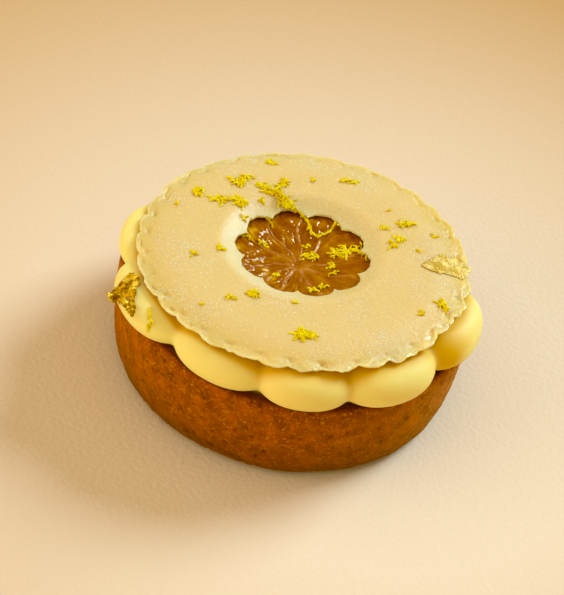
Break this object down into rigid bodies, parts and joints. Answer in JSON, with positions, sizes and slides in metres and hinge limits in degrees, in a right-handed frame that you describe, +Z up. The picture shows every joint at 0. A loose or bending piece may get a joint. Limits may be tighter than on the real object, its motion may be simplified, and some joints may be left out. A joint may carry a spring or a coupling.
{
  "type": "lemon hazelnut tart",
  "caption": "Individual round shortcrust tart with a ring of piped lemon cream under a fluted disc, whose flower-shaped window shows lemon confit; lime zest and gold leaf on top.",
  "frame": {"origin": "centre of the pastry case's flat base, on the surface that the tart stands on", "axes": "+Z up through the middle of the tart; -Y towards the front that the picture shows, +X to its right"},
  "size_m": [0.0778, 0.0761, 0.0319],
  "materials": {
    "baked_crust": "matt baked pastry",
    "lemon_cream": "satin, smooth",
    "lemon_confit": "wet gloss",
    "pale_cover": "soft satin, lightly frosted",
    "gold_leaf": "crumpled leaf metal"
  },
  "bodies": {
    "root": {"tart_case": "baked_crust", "piped_cream": "lemon_cream", "lemon_confit": "lemon_confit", "fluted_disc": "pale_cover", "gold_leaf_top": "gold_leaf", "gold_leaf_side": "gold_leaf"}
  },
  "joints": []
}
